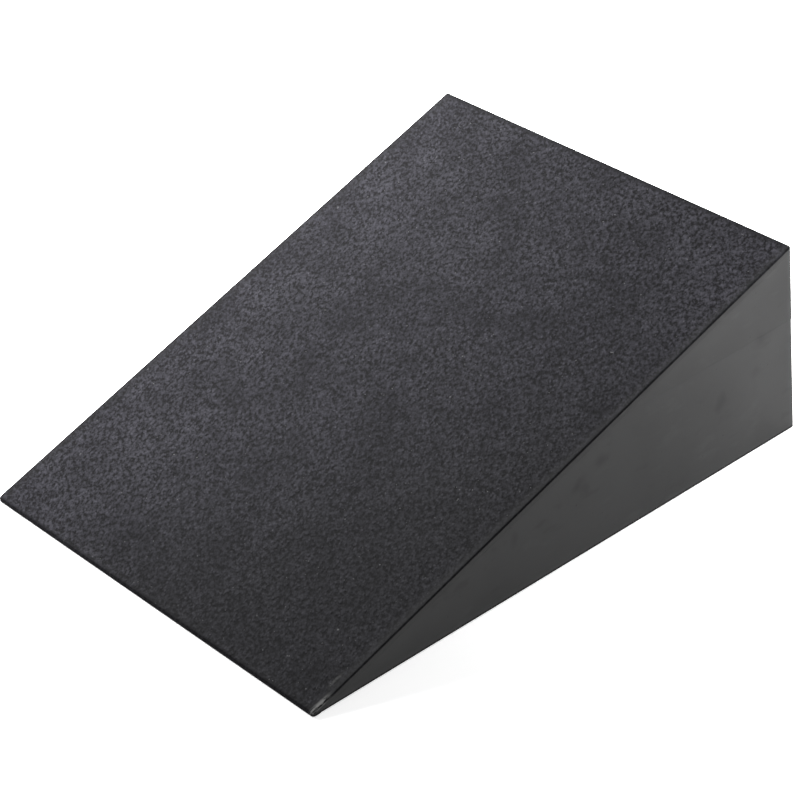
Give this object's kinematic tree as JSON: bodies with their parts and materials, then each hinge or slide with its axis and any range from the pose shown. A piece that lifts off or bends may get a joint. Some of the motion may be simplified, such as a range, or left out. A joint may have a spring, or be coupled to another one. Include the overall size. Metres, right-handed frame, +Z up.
{
  "type": "slant board",
  "caption": "Dark foam wedge with a thin toe, a tall heel end and a grained non-slip ramp, for calf and ankle stretching.",
  "frame": {"origin": "on the floor, at the middle of the board's footprint", "axes": "+Y runs along the board from the thin toe edge to the tall heel end, +Z is up, and +X is across the board"},
  "size_m": [0.12, 0.15, 0.05],
  "materials": {
    "foam": "satin closed-cell EVA foam",
    "grip_sheet": "matte, fine grain",
    "contact_cement": "satin"
  },
  "bodies": {
    "root": {"lower_foam_layer": "foam", "upper_foam_layer": "foam", "layer_glue_film": "contact_cement", "ramp_glue_film": "contact_cement", "ramp_grip_sheet": "grip_sheet"}
  },
  "joints": []
}
